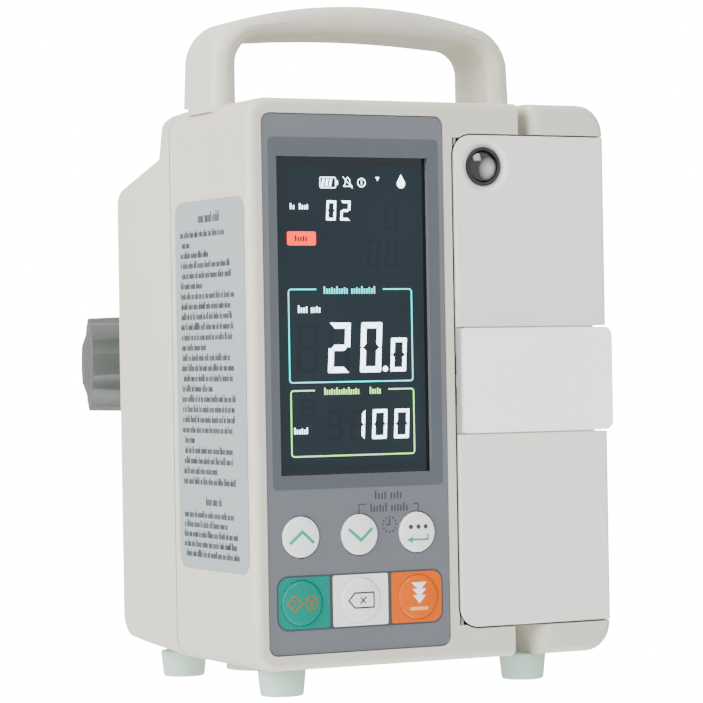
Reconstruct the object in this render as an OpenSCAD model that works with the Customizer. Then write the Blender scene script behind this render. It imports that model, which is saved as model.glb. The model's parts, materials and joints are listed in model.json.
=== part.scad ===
// Volumetric infusion pump: two-part case with a carrying handle, a control panel on the left,
// a tube door with a pull lever on the right, a finger pump behind the door and a pole clamp behind.
// Every module works in case coordinates: x from the left side, y from the front face to the back,
// z from the surface that the feet stand on. in_frame() moves a piece to the frame of the whole pump.

/* [Case] */
// Width of the case
case_w = 127; // [120:1:140]
// Depth of the case, front face to back face
case_d = 104; // [100:1:110]
// Height of the case without feet and handle
case_h = 175.3; // [174:0.1:178]
// Depth of the front shell, from the front face to the seam
seam_y = 59.4; // [58:0.1:61]
// Wall thickness of the shells
wall = 2.5; // [2:0.1:2.8]
// Corner radius of the case on the left side
corner_left = 7; // [5:0.5:8]
// Corner radius of the case on the right side
corner_right = 9; // [7:0.5:10]

/* [Feet] */
// Height of a foot
foot_h = 8.5; // [8:0.5:10]
// Radius of a foot at the floor
foot_r_floor = 6.7; // [6:0.1:7]
// Radius of a foot at the case
foot_r_case = 7.6; // [7.2:0.1:8]

/* [Handle] */
// Height of the handle above the case
handle_rise = 32.4; // [30:0.1:36]
// Width over both legs of the handle
handle_w = 109; // [105:0.5:112]
// Front face of the handle, from the case front
handle_front = 25.8; // [25:0.1:28]
// Depth of the front half of the handle
handle_front_d = 19.8; // [18:0.1:21]
// Depth of the back half of the handle
handle_back_d = 4.8; // [4:0.1:6]
// Thickness of a leg of the handle
handle_leg = 9.6; // [9:0.1:11]

/* [Keys] */
// Distance between neighbouring keys
key_pitch = 20.15; // [20:0.05:20.4]
// Radius of an upper key
key_r_upper = 6.3; // [6:0.1:6.4]
// Radius of a lower key
key_r_lower = 6.9; // [6.5:0.1:7]
// How far a key stands out of the panel
key_rise = 1.2; // [0.8:0.1:1.4]

/* [Door and lever] */
// Depth of the door
door_d = 21.2; // [21:0.1:21.4]
// Height of the lever
lever_h = 33; // [30:0.5:33]
// Reach of the arm that drives the latch slide
lever_arm = 9; // [8.8:0.1:9.2]

/* [Pump mechanism] */
// Width of the tube path
tube_gap = 4.6; // [4.4:0.1:5]
// Distance between neighbouring fingers
finger_pitch = 8; // [8:0.1:8.2]
// Throw of a cam
cam_throw = 1; // [0.8:0.1:1]

/* [Pole clamp] */
// Radius of the pole that the clamp seat fits
pole_r = 12.5; // [12:0.5:12.5]
// Turn of the clamp about the pole, so that the knob clears the case
clamp_turn = 18; // [15:1:20]
// Height of the clamp bracket
clamp_h = 34; // [30:1:36]
// Radius of the knob at its outer end
knob_r = 16; // [15:0.5:17]
// Number of grip lobes on the knob
knob_lobes = 8; // [6:1:10]

/* [Hidden] */
$fn = 48;
eps = 0.01;

// Case
case_bottom = foot_h;
case_top = foot_h + case_h;
panel_x0 = 4.6;
panel_x1 = 67.3;
panel_z0 = 13.5;
panel_z1 = 178.8;
panel_back = 2.3;
panel_sunk = 0.3;
front_wall_back = panel_back + wall;
pocket_left = 70.3;
pocket_z0 = 18.05;
pocket_z1 = 173.9;
pocket_floor = 27.4;
foot_x = [14.3, 100.2];
foot_y = [12.3, 86.5];
// The front right foot's screw stands off its centre, clear of the tube slot
screw_shift = 2.8;
front_screw_x = [foot_x[0], foot_x[1] + screw_shift];
screw_r = 1.5;
running = 0.05;
case_screw_x = [9, case_w - 9];
case_screw_z = [24, 148];
label_t = 0.3;
grille_x = 104;
grille_z = 74;
inlet_x = 101;
inlet_z = 39;

// Display and keys
lcd_x0 = 9.5;
lcd_x1 = 62;
lcd_z0 = 68.1;
lcd_z1 = 165.9;
key_x0 = 15.75;
key_z_upper = 49.3;
key_z_lower = 29.1;
key_gap = 0.3;
display_board_y = 10.8;
main_board_y = pocket_floor + wall;
supply_y = 65.6;
supply_x = [21, 73];
supply_z = [76, 144];
battery_x = [25.5, 44.5];
battery_y = [72.2, 91.2];
battery_z = [27.5, 62.5];

// Door
door_x0 = 70.7;
door_x1 = case_w - 0.1;
door_z0 = 18.3;
door_z1 = 173.7;
door_corner = 6.9;
hinge_x = 72;
hinge_y = 1.15;
hinge_pin_r = 0.75;
// Room in the corners of the pocket for the edge of the door to turn in
hinge_relief_r = 1.75;
hinge_relief_z = [1.3, 7.4];
lever_z0 = 79.6;
lever_z1 = lever_z0 + lever_h;
lever_mid = (lever_z0 + lever_z1) / 2;
lever_x0 = 73.2;
lever_x1 = case_w + 1;
lever_proud = 0.8;
lever_pin_x = 76.5;
lever_pin_y = 4;
lever_pin_r = 1.25;
channel_d = 9;
lamp_x = 82.65;
lamp_z = 163.7;

// Mechanism
tube_x = 96.9;
tube_floor = 25.8;
base_front = 22;
base_back = 27.4;
cam_y = 48;
cam_r = 5.2;
motor_y = 80;
finger_count = 6;
finger_mid_z = 90;
finger_tip = 26;
finger_back = cam_y - cam_r - cam_throw - 0.4;
finger_w = 11;
finger_t = 7;
pulley_z = 132;
motor_pulley_r = 6;
cam_pulley_r = 12;
belt_gap = 0.3;
belt_t = 0.7;
sensor_z = 48;

// Pole clamp
pole_x = 63.5;
pole_y = 125;
clamp_z = 103.2;
clamp_reach = 40;
knob_base = 41.5;
knob_end = 61;
knob_dome = 2;

// Middle of the whole pump, seen from above
reach_front = -0.9;
reach_back = pole_y + knob_end * sin(clamp_turn) + knob_r * cos(clamp_turn);
reach_left = -label_t;
mid_x = (reach_left + lever_x1) / 2;
mid_y = (reach_front + reach_back) / 2;

// Points on an arc about a centre, from one angle to another
function arc(centre, r, from, to, steps = 8) =
    [for (i = [0 : steps]) centre + r * [cos(from + (to - from) * i / steps),
                                         sin(from + (to - from) * i / steps)]];

// A corner of an outline: an arc, or the bare corner where the radius is 0
function corner(centre, r, from) = r > 0 ? arc(centre, r, from, from + 90) : [centre];

// Outline of a rectangle with corner radii [bottom left, bottom right, top right, top left]
function rounded(x0, x1, z0, z1, r) =
    concat(corner([x0 + r[0], z0 + r[0]], r[0], 180), corner([x1 - r[1], z0 + r[1]], r[1], 270),
           corner([x1 - r[2], z1 - r[2]], r[2], 0), corner([x0 + r[3], z1 - r[3]], r[3], 90));

module in_frame() translate([-mid_x, -mid_y, 0]) children();

// A block given by its limits
module block(x, y, z) translate([x[0], y[0], z[0]]) cube([x[1] - x[0], y[1] - y[0], z[1] - z[0]]);

// A shape drawn in x and z, as thick as the given span of y
module across_y(y0, y1) translate([0, y1, 0]) rotate([90, 0, 0]) linear_extrude(y1 - y0) children();

// A shape drawn in y and z, as thick as the given span of x
module across_x(x0, x1) translate([x0, 0, 0]) rotate([90, 0, 90]) linear_extrude(x1 - x0) children();

// A cylinder or cone along y
module rod_y(x, y0, y1, z, r, r_end = undef)
    translate([x, y0, z]) rotate([-90, 0, 0])
        cylinder(h = y1 - y0, r1 = r, r2 = is_undef(r_end) ? r : r_end);

// A cylinder along z
module rod_z(x, y, z0, z1, r) translate([x, y, z0]) cylinder(h = z1 - z0, r = r);

// ---- Case ----

// Front outline of the case, drawn back from its edge by the given amount
module case_outline(inset)
    polygon(rounded(inset, case_w - inset, case_bottom + inset, case_top - inset,
                    [corner_left - inset, corner_right - inset, corner_right - inset,
                     corner_left - inset]));

// Side outline of the rear shell, drawn back by the given amount: a step behind the handle,
// a sloping top, and an underside that rises to a rounded edge
module rear_outline(inset)
    polygon(concat([[seam_y - eps * sign(inset), case_bottom + inset],
                    [68.4, 10.2 + inset]],
                   arc([case_d - 8, 20.5], 8 - inset, -75, 0),
                   arc([case_d - 6, 155.5], 6 - inset, 0, 75),
                   [[68.6 - inset, 169.5 - inset]],
                   arc([seam_y + 2, case_top - 6], 5 - inset / 2, 10, 90),
                   [[seam_y - eps * sign(inset), case_top - 1 - inset]]));

// Outline of the handle: two legs under a low arch
module handle_outline() {
    mid = handle_w / 2;
    top = case_top + handle_rise;
    bow = 168;
    shoulder = 14.4;
    hole_corner = 8.2;
    hole_top = top - 9.8;
    shoulder_z = case_top + 13;
    difference() {
        polygon(concat([[0, case_top - wall]],
                       arc([shoulder + 1.2, shoulder_z], shoulder, 180, 104),
                       arc([mid, top - bow], bow, 103, 77, 12),
                       arc([handle_w - shoulder - 1.2, shoulder_z], shoulder, 76, 0),
                       [[handle_w, case_top - wall]]));
        polygon(concat([[handle_leg, case_top - wall - 1]],
                       arc([handle_leg + hole_corner, hole_top - hole_corner - 1.6],
                           hole_corner, 180, 92),
                       arc([mid, hole_top - 400], 400, 94.5, 85.5),
                       arc([handle_w - handle_leg - hole_corner, hole_top - hole_corner - 1.6],
                           hole_corner, 88, 0),
                       [[handle_w - handle_leg, case_top - wall - 1]]));
    }
}

// A tube slot through the band above or below the door, with a rounded lead-in on its right
module tube_slot(left, lead, z0, z1)
    translate([0, 0, z0]) linear_extrude(z1 - z0)
        polygon(concat([[left, -1], [tube_x + tube_gap / 2 - 0.1 + lead, -1]],
                       arc([tube_x + tube_gap / 2 - 0.1 + lead, lead], lead, 270, 180),
                       [[tube_x + tube_gap / 2 - 0.1, tube_floor + 0.2],
                        [left, tube_floor + 0.2]]));

module front_case() in_frame() color([0.84, 0.83, 0.78]) {
    slot_left_top = tube_x - tube_gap / 2 + 0.1;
    slot_left_bottom = 90.7;
    difference() {
        union() {
            difference() {
                across_y(0, seam_y) case_outline(0);
                intersection() {
                    across_y(front_wall_back, seam_y + 1) case_outline(wall);
                    union() {
                        block([0, pocket_left - 2.7], [0, seam_y + 1], [0, 200]);
                        block([pocket_left - 3, case_w], [pocket_floor + wall, seam_y + 1],
                              [0, 200]);
                    }
                }
            }
            across_y(handle_front, handle_front + handle_front_d) handle_outline();
            // Shallow round pads under the case
            for (x = [21.5, 89.5]) rod_z(x, 40, case_bottom - 2.5, case_bottom + wall, 12);
            // Bosses for the case screws, joined to the side walls
            for (x = case_screw_x, z = case_screw_z) {
                rod_y(x, 36, seam_y, z, 4);
                block([x < 50 ? 1 : x, x < 50 ? x : case_w - 1], [36, seam_y], [z - 2, z + 2]);
            }
            // Bosses for the front foot screws
            for (x = foot_x) rod_z(x, foot_y[0], case_bottom, case_bottom + 9, 4);
            // Posts for the display board, and ledges for the main board
            for (x = [8, 62]) rod_y(x, panel_back, display_board_y, 63, 1.9);
            for (z = [34, 120]) block([1, 8], [main_board_y - 2.5, main_board_y], [z, z + 10]);
        }
        // Recess for the control panel, with the openings behind it
        across_y(-1, panel_back)
            polygon(rounded(panel_x0 - 0.25, panel_x1 + 0.25, panel_z0 - 0.25, panel_z1 + 0.25,
                            [3, 3, 3, 3]));
        block([lcd_x0 - 2.5, lcd_x1 + 2.5], [0, front_wall_back + 1], [lcd_z0 - 2.5, lcd_z1 + 2.5]);
        for (i = [0 : 2], z = [key_z_upper, key_z_lower])
            rod_y(key_x0 + i * key_pitch, 0, front_wall_back + 1, z, key_r_lower + 1.5);
        // Pocket for the door, open to the right
        across_y(-1, pocket_floor)
            polygon(rounded(pocket_left, case_w + 2, pocket_z0, pocket_z1,
                            [door_corner + 0.3, 0, 0, door_corner + 0.3]));
        block([82, 112], [pocket_floor - 1, pocket_floor + wall + 1], [42, 150.5]);
        tube_slot(slot_left_top, 4, pocket_z1 - 1, case_top + 1);
        tube_slot(slot_left_bottom, 6, case_bottom - 4, pocket_z0 + 1);
        rod_z(hinge_x, hinge_y, 11, pocket_z0 + 5, hinge_pin_r + running);
        rod_z(hinge_x, hinge_y, pocket_z1 - 5, 181, hinge_pin_r + running);
        rod_z(hinge_x, hinge_y, pocket_z0 + hinge_relief_z[0], pocket_z0 + hinge_relief_z[1],
              hinge_relief_r);
        rod_z(hinge_x, hinge_y, pocket_z1 - hinge_relief_z[1], pocket_z1 - hinge_relief_z[0],
              hinge_relief_r);
        for (x = case_screw_x, z = case_screw_z)
            rod_y(x, 42, seam_y + 1, z, screw_r + running);
        for (x = front_screw_x)
            rod_z(x, foot_y[0], case_bottom - 1, case_bottom + 7, screw_r + running);
        for (x = [5, handle_w - 5])
            rod_y(x, handle_front + 9, handle_front + handle_front_d + 1, case_top + 6,
                  screw_r + running);
    }
}

module rear_case() in_frame() color([0.84, 0.83, 0.78]) {
    difference() {
        union() {
            difference() {
                intersection() {
                    across_y(seam_y, case_d) case_outline(0);
                    across_x(-1, case_w + 1) rear_outline(0);
                }
                intersection() {
                    across_y(seam_y - 1, case_d - wall) case_outline(wall);
                    across_x(wall, case_w - wall) rear_outline(wall);
                }
            }
            // Pads above the rear feet, with bosses for their screws
            for (x = foot_x) rod_z(x, foot_y[1], case_bottom, case_bottom + 13, foot_r_case);
            // Shelf under the battery, and posts for the power supply
            block([1, 64], [62, case_d - 1], [battery_z[0] - 2.5, battery_z[0]]);
            for (x = supply_x, z = supply_z) rod_y(x, supply_y, case_d - 1, z, 2.6);
            // Towers for the case screws, joined to the side walls
            for (x = case_screw_x, z = case_screw_z) {
                rod_y(x, seam_y, case_d - 1, z, 5);
                block([x < 50 ? 1 : x, x < 50 ? x : case_w - 1], [seam_y, case_d - 1],
                      [z - 2, z + 2]);
            }
        }
        for (x = case_screw_x, z = case_screw_z) {
            rod_y(x, seam_y - 1, case_d + 1, z, screw_r + running);
            rod_y(x, 72, case_d + 1, z, 3.3);
        }
        for (x = foot_x) rod_z(x, foot_y[1], case_bottom - 1, case_bottom + 11, screw_r + running);
        // Battery bay
        block([15, 63], [case_d - wall - 1, case_d + 1], [battery_z[0], 63]);
        block([12.8, 65.2], [case_d - 1.4, case_d + 1], [24.8, 65.2]);
        // Mains inlet
        block([76.8, 113.2], [case_d - wall - 1, case_d + 1], [27.8, 50.2]);
        // Speaker grille: rings of round holes
        rod_y(grille_x, case_d - wall - 1, case_d + 1, grille_z, 1);
        for (ring = [1 : 3], i = [0 : 6 * ring - 1])
            rod_y(grille_x + 3.4 * ring * cos(i * 60 / ring), case_d - wall - 1, case_d + 1,
                  grille_z + 3.4 * ring * sin(i * 60 / ring), 1);
        // Holes for the clamp bolts
        for (x = [pole_x - 14, pole_x + 12], z = [clamp_z - 11, clamp_z + 11])
            rod_y(x, case_d - wall - 1, case_d + 1, z, 2.5 + running);
    }
}

module handle_back() in_frame() color([0.84, 0.83, 0.78])
    difference() {
        intersection() {
            across_y(handle_front + handle_front_d, handle_front + handle_front_d + handle_back_d)
                handle_outline();
            block([-1, case_w], [0, case_d], [case_top, case_top + 50]);
        }
        for (x = [5, handle_w - 5]) {
            rod_y(x, handle_front, case_d, case_top + 6, screw_r + running);
            rod_y(x, handle_front + handle_front_d + 2.6, case_d, case_top + 6, 2.9);
        }
    }

// A pan-head screw along y, with its head at the back
module screw_y(x, head_y, z, length) {
    rod_y(x, head_y - length, head_y, z, screw_r);
    rod_y(x, head_y, head_y + 1.8, z, 2.7);
}

module case_screws() in_frame() color("silver") {
    for (x = case_screw_x, z = case_screw_z) screw_y(x, 72, z, 26);
    for (x = [5, handle_w - 5])
        screw_y(x, handle_front + handle_front_d + 2.6, case_top + 6, 12);
    for (x = front_screw_x) foot_screw(x, foot_y[0]);
    for (x = foot_x) foot_screw(x, foot_y[1]);
}

module foot_screw(x, y) {
    rod_z(x, y, 2.2, 4, 2.7);
    rod_z(x, y, 4, case_bottom + 5, screw_r);
}

// A tapered foot with a screw in it, which may stand off its centre
module foot(x, y, shift = 0) in_frame() color([0.78, 0.84, 0.78])
    difference() {
        translate([x, y, 0]) cylinder(h = foot_h, r1 = foot_r_floor, r2 = foot_r_case);
        rod_z(x + shift, y, -1, 4, 3);
        rod_z(x + shift, y, -1, foot_h + 1, screw_r + running);
    }

module foot_front_left() foot(foot_x[0], foot_y[0]);
module foot_front_right() foot(foot_x[1], foot_y[0], screw_shift);
module foot_rear_left() foot(foot_x[0], foot_y[1]);
module foot_rear_right() foot(foot_x[1], foot_y[1]);

module side_label() in_frame() color([0.74, 0.77, 0.77])
    across_x(-label_t, 0) polygon(rounded(3.7, 55.2, 38.2, 154, [4.8, 4.8, 4.8, 4.8]));

// ---- Control panel ----

module bezel_panel() in_frame() color([0.58, 0.6, 0.63])
    difference() {
        across_y(panel_sunk, panel_back)
            polygon(rounded(panel_x0, panel_x1, panel_z0, panel_z1, [3, 3, 3, 3]));
        block([lcd_x0, lcd_x1], [0, panel_back + 1], [lcd_z0, lcd_z1]);
        for (i = [0 : 2]) {
            rod_y(key_x0 + i * key_pitch, 0, panel_back + 1, key_z_upper, key_r_upper + key_gap);
            rod_y(key_x0 + i * key_pitch, 0, panel_back + 1, key_z_lower, key_r_lower + key_gap);
        }
    }

module display_window() in_frame() color([0.15, 0.18, 0.2])
    block([lcd_x0 - 2.3, lcd_x1 + 2.3], [panel_back, panel_back + 1.2],
          [lcd_z0 - 2.3, lcd_z1 + 2.3]);

module lcd_module() in_frame() color([0.25, 0.28, 0.3])
    union() {
        block([lcd_x0 - 1.8, lcd_x1 + 1.8], [3.8, 6], [lcd_z0 - 1.8, lcd_z1 + 1.8]);
        block([lcd_x0 - 0.8, lcd_x1 + 0.8], [6, 10.6], [lcd_z0 - 0.8, lcd_z1 + 0.8]);
    }

module display_board() in_frame() color("darkgreen")
    union() {
        block([5, 65], [display_board_y, 12.4], [18, 170]);
        for (z = [24 : 18 : 150]) block([14, 26], [12.4, 14], [z, z + 10]);
        block([38, 56], [12.4, 17], [80, 86]);
    }

module key_mat() in_frame() color("gainsboro")
    union() {
        block([6, 64], [8.8, display_board_y], [18, 60]);
        for (i = [0 : 2], z = [key_z_upper, key_z_lower])
            rod_y(key_x0 + i * key_pitch, 5.6, 8.8, z, 3.5, 5);
    }

// A key with a crowned face, a flange behind the panel and a short stem
module key(column, z, r) {
    x = key_x0 + column * key_pitch;
    crown = (r * r + key_rise * key_rise) / (2 * key_rise);
    in_frame() {
        intersection() {
            rod_y(x, panel_sunk - key_rise - 1, panel_back + 0.4, z, r);
            translate([x, panel_sunk - key_rise + crown, z]) sphere(r = crown, $fn = 64);
        }
        rod_y(x, panel_back + 0.3, panel_back + 1.3, z, r + 1);
        rod_y(x, panel_back + 1.2, 4.8, z, 2.5);
    }
}

module key_up() color("white") key(0, key_z_upper, key_r_upper);
module key_down() color("white") key(1, key_z_upper, key_r_upper);
module key_set() color("white") key(2, key_z_upper, key_r_upper);
module key_start_stop() color([0.1, 0.66, 0.58]) key(0, key_z_lower, key_r_lower);
module key_clear() color("white") key(1, key_z_lower, key_r_lower);
module key_purge() color([0.95, 0.5, 0.1]) key(2, key_z_lower, key_r_lower);

// ---- Electronics ----

module main_board() in_frame() color("darkgreen")
    union() {
        block([5, 76], [main_board_y, main_board_y + 1.6], [28, 166]);
        for (z = [40, 74, 108]) block([18, 36], [main_board_y + 1.5, 33.4], [z, z + 18]);
        for (z = [34 : 14 : 148]) block([44, 50], [main_board_y + 1.5, 36], [z, z + 8]);
        block([10, 16], [22, main_board_y + 0.1], [60, 110]);
    }

module power_supply() in_frame() color("khaki")
    union() {
        block([17, 77], [supply_y - 1.6, supply_y], [72, 148]);
        block([22, 46], [supply_y - 0.1, 88], [84, 112]);
        for (x = [55, 69]) rod_y(x, supply_y - 0.1, 84, 96, 6);
        block([28, 46], [supply_y - 0.1, 74], [124, 140]);
        block([50, 66], [supply_y - 0.1, 80], [118, 136]);
    }

module battery_pack() in_frame() color("steelblue")
    union() {
        for (x = battery_x, y = battery_y) rod_z(x, y, battery_z[0], battery_z[1], 9.3);
        block(battery_x, [battery_y[0] - 8, battery_y[1] + 8], [battery_z[0] + 1, battery_z[1] - 1]);
        block([battery_x[0] - 8, battery_x[1] + 8], battery_y, [battery_z[0] + 1, battery_z[1] - 1]);
    }

module battery_cover() in_frame() color([0.8, 0.79, 0.75])
    difference() {
        union() {
            block([13, 65], [case_d - 1.4, case_d], [25, 65]);
            block([15.2, 62.8], [case_d - wall, case_d - 1.3], [battery_z[0] + 0.2, 62.8]);
        }
        for (i = [0 : 4]) block([28, 50], [case_d - 0.5, case_d + 1], [34 + 3 * i, 35.4 + 3 * i]);
    }

module speaker() in_frame() color("dimgray")
    difference() {
        union() {
            rod_y(grille_x, 97, case_d - wall, grille_z, 13.5);
            rod_y(grille_x, 90, 97.1, grille_z, 8, 12);
            rod_y(grille_x, 86, 90.1, grille_z, 8);
        }
        rod_y(grille_x, 98.5, 102, grille_z, 10.5);
    }

// Mains inlet: a socket with its upper corners cut off, three blades in it, and a rocker beside it
module mains_inlet() in_frame() color([0.12, 0.12, 0.13])
    difference() {
        union() {
            block([77, 113], [88, case_d + 0.1], [28, 50]);
            block([75.5, 114.5], [case_d, case_d + 1.4], [26.5, 51.5]);
        }
        difference() {
            across_y(92, case_d + 2) translate([inlet_x, inlet_z])
                polygon([[-11, -8], [11, -8], [11, 4.5], [7.5, 8], [-7.5, 8], [-11, 4.5]]);
            for (blade = [[-7, -2], [0, 3], [7, -2]])
                block([inlet_x + blade[0] - 1, inlet_x + blade[0] + 1], [91, case_d - 1],
                      [inlet_z + blade[1] - 2, inlet_z + blade[1] + 2]);
        }
        // Opening for the rocker
        block([79.5, 88.5], [92, case_d + 2], [inlet_z - 7, inlet_z + 7]);
    }

module power_switch() in_frame() color([0.1, 0.35, 0.2])
    translate([79.8, case_d - 3, inlet_z]) rotate([0, 90, 0]) linear_extrude(8.4)
        polygon([[-6, 0], [-5.4, 4.6], [0, 3.2], [5.4, 2.6], [6, 0], [0, -3]]);

// ---- Door ----

module door_body() {
    intersection() {
        across_y(0, door_d)
            polygon(rounded(door_x0, door_x1, door_z0, door_z1,
                            [door_corner, 1.2, 1.2, door_corner]));
        linear_extrude(200)
            polygon(rounded(door_x0, door_x1, 0, door_d + 1, [1.6, 2, 0, 0]));
    }
}

module door_shell() in_frame() color([0.83, 0.84, 0.82])
    difference() {
        union() {
            difference() {
                door_body();
                block([door_x0 + 2.3, door_x1 - 2.3], [wall, door_d + 1],
                      [door_z0 + 2.3, door_z1 - 2.3]);
            }
            intersection() {
                door_body();
                union() {
                    // Floor and sides of the lever channel
                    block([door_x0, door_x1], [0, channel_d + 2.2],
                          [lever_z0 - 2.8, lever_z1 + 2.8]);
                    // Blocks for the hinge pins
                    block([door_x0, 77], [0, 6], [door_z0, 27.5]);
                    block([door_x0, 77], [0, 6], [164.5, door_z1]);
                    // Rim behind the status lamp
                    rod_y(lamp_x, 1, 7, lamp_z, 7.6);
                }
            }
        }
        block([door_x0 - 1, door_x1 + 1], [-1, channel_d], [lever_z0 - 0.5, lever_z1 + 0.5]);
        block([door_x0 - 1, 83], [channel_d - 1, channel_d + 3], [lever_mid - 8.3, lever_mid + 8.3]);
        rod_z(hinge_x, hinge_y, door_z0 - 1, 28, hinge_pin_r + running);
        rod_z(hinge_x, hinge_y, 164, door_z1 + 1, hinge_pin_r + running);
        rod_z(lever_pin_x, lever_pin_y, lever_z0 - 3, lever_z1 + 3, lever_pin_r + running);
        rod_y(lamp_x, -0.01, 1.7, lamp_z, 8.3, 6.5);
        rod_y(lamp_x, -1, 8, lamp_z, 6.25);
    }

module door_liner() in_frame() color([0.75, 0.76, 0.75])
    difference() {
        union() {
            block([73.2, 124.4], [18.7, door_d], [20.8, 171.2]);
            // Tray that carries the platen springs
            difference() {
                block([86.5, 107.5], [14.8, 18.8], [52.5, 127.5]);
                block([88, 106], [16.3, 20], [54, 126]);
            }
        }
        block([88, 106], [16.3, door_d + 1], [54, 126]);
        block([112.8, 125], [18, door_d + 1], [lever_mid - 5.1, lever_mid + 4.9]);
    }

module platen() in_frame() color("silver")
    union() {
        block([88.4, 105.6], [19, door_d], [54.4, 125.6]);
        for (x = [89.6, 104.2]) block([x - 1, x + 1], [18, 19.1], [60, 120]);
    }

module platen_springs() in_frame() color("silver")
    for (x = [tube_x - 3.5, tube_x + 3.5], z = [64, 116])
        difference() {
            rod_y(x, 16.3, 17.7, z, 2.4);
            rod_y(x, 16, 18, z, 1.7);
        }

module door_hinge_pins() in_frame() color("silver") {
    rod_z(hinge_x, hinge_y, 11.5, 27, hinge_pin_r);
    rod_z(hinge_x, hinge_y, 165, 180.5, hinge_pin_r);
}

module latch_lever() in_frame() color([0.9, 0.91, 0.92])
    difference() {
        union() {
            across_y(-lever_proud, 3)
                polygon(rounded(lever_x0, lever_x1, lever_z0, lever_z1, [0.8, 2.9, 2.9, 0.8]));
            rod_z(lever_pin_x, lever_pin_y, lever_z0, lever_z1, 2.9);
            block([lever_pin_x - 1, lever_pin_x + 1], [lever_pin_y + 2, lever_pin_y + lever_arm],
                  [lever_mid - 2, lever_mid + 2]);
            rod_z(lever_pin_x, lever_pin_y + lever_arm, lever_mid - 2, lever_mid + 2, 1.5);
            // Rib along the back, where the fingers pull
            block([112, lever_x1 - 1.5], [2, 6], [lever_mid - 10, lever_mid + 10]);
        }
        rod_z(lever_pin_x, lever_pin_y, lever_z0 - 1, lever_z1 + 1, lever_pin_r + running);
        block([108, 122], [3, 7], [lever_mid - 8, lever_mid + 8]);
    }

module lever_pin() in_frame() color("silver")
    rod_z(lever_pin_x, lever_pin_y, lever_z0 - 2.8, lever_z1 + 2.8, lever_pin_r);

module latch_slide() in_frame() color([0.2, 0.2, 0.22])
    difference() {
        union() {
            block([73.6, 79.6], [11.6, 14.2], [lever_mid - 4.5, lever_mid + 4.5]);
            block([79, 119.5], [11.6, 14.2], [lever_mid - 3, lever_mid + 3]);
            block([117.5, 119.5], [11.6, 26.3], [lever_mid - 4, lever_mid + 4]);
            block([113.8, 119.5], [24.8, 26.3], [lever_mid - 4, lever_mid + 4]);
        }
        // Window that the tip of the lever's arm works in
        block([74.7, 78.3], [11, 15], [lever_mid - 2.4, lever_mid + 2.4]);
    }

module striker() in_frame() color("silver")
    union() {
        block([111, 113.5], [22.6, 24.4], [lever_mid - 8, lever_mid + 8]);
        for (z = [lever_mid - 8, lever_mid + 5.5])
            block([111, 113.5], [24.3, pocket_floor], [z, z + 2.5]);
    }

// Status lamp in the door
module lamp_ring() in_frame() color([0.13, 0.12, 0.12])
    difference() {
        rod_y(lamp_x, 0.9, 7, lamp_z, 6.2);
        rod_y(lamp_x, 0, 8, lamp_z, 5.1);
    }

module lamp_lens() in_frame() color([0.2, 0.19, 0.18])
    intersection() {
        rod_y(lamp_x, -1, 4.6, lamp_z, 5.05);
        translate([lamp_x, 6.8, lamp_z]) sphere(r = 6.3, $fn = 64);
    }

module lamp_board() in_frame() color("darkgreen")
    union() {
        rod_y(lamp_x, 7, 8.4, lamp_z, 7);
        rod_y(lamp_x, 5, 7.1, lamp_z, 1.6);
    }

// ---- Pump mechanism ----

// The groove that the tube lies in
module tube_groove()
    block([tube_x - tube_gap / 2, tube_x + tube_gap / 2], [20, tube_floor], [0, 200]);

module pump_base() in_frame() color([0.66, 0.68, 0.69])
    difference() {
        across_y(base_front, base_back) polygon(rounded(73, 124, 20.5, 171.5, [3, 1, 1, 3]));
        tube_groove();
        block([tube_x - 6, tube_x + 6], [20, 28], [finger_mid_z - 24.5, finger_mid_z + 24.5]);
        block([89.8, 104.2], [20, 28], [133.8, 148.2]);
        rod_y(tube_x, 20, 28, sensor_z, 3.8);
        block([109, 125], [20, 28], [lever_mid - 9, lever_mid + 9]);
    }

module mech_frame() in_frame() color("silver")
    difference() {
        union() {
            block([84, 110], [base_back, 38], [62, 118]);
            block([84, 110], [base_back, 60], [56, 60]);
            block([84, 110], [base_back, 95], [124, 128]);
            for (x = [84, 107.5]) block([x, x + 2.5], [base_back, 44], [56, 128]);
        }
        for (i = [0 : finger_count - 1]) {
            z = finger_mid_z + (i - (finger_count - 1) / 2) * finger_pitch;
            block([tube_x - finger_w / 2 - 0.2, tube_x + finger_w / 2 + 0.2], [20, 50],
                  [z - finger_t / 2 - 0.2, z + finger_t / 2 + 0.2]);
        }
        for (z = [55, 123]) rod_z(tube_x, cam_y, z, z + 6, 6 + running);
        rod_z(tube_x, motor_y, 123, 129, 3.5);
    }

// A pump finger: a flat plunger with a rounded nose that squeezes the tube
module finger(i) {
    z = finger_mid_z + (i - (finger_count - 1) / 2) * finger_pitch;
    in_frame() color("white") union() {
        block([tube_x - finger_w / 2, tube_x + finger_w / 2], [28, finger_back],
              [z - finger_t / 2, z + finger_t / 2]);
        block([tube_x - 4, tube_x + 4], [finger_tip, 28.5], [z - 3, z + 3]);
    }
}

module finger_1() finger(0);
module finger_2() finger(1);
module finger_3() finger(2);
module finger_4() finger(3);
module finger_5() finger(4);
module finger_6() finger(5);

// Shaft with one eccentric cam for each finger, each a step further round
module camshaft() in_frame() color("silver")
    union() {
        rod_z(tube_x, cam_y, 53, 141, 2.5);
        for (i = [0 : finger_count - 1]) {
            z = finger_mid_z + (i - (finger_count - 1) / 2) * finger_pitch;
            turn = i * 360 / finger_count;
            rod_z(tube_x + cam_throw * cos(turn), cam_y + cam_throw * sin(turn),
                  z - finger_t / 2, z + finger_t / 2, cam_r);
        }
    }

// A flanged belt pulley
module pulley(y, r, bore)
    difference() {
        union() {
            rod_z(tube_x, y, pulley_z, pulley_z + 8, r);
            rod_z(tube_x, y, pulley_z, pulley_z + 1, r + 1.2);
            rod_z(tube_x, y, pulley_z + 7, pulley_z + 8, r + 1.2);
        }
        rod_z(tube_x, y, pulley_z - 1, pulley_z + 9, bore);
    }

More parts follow.
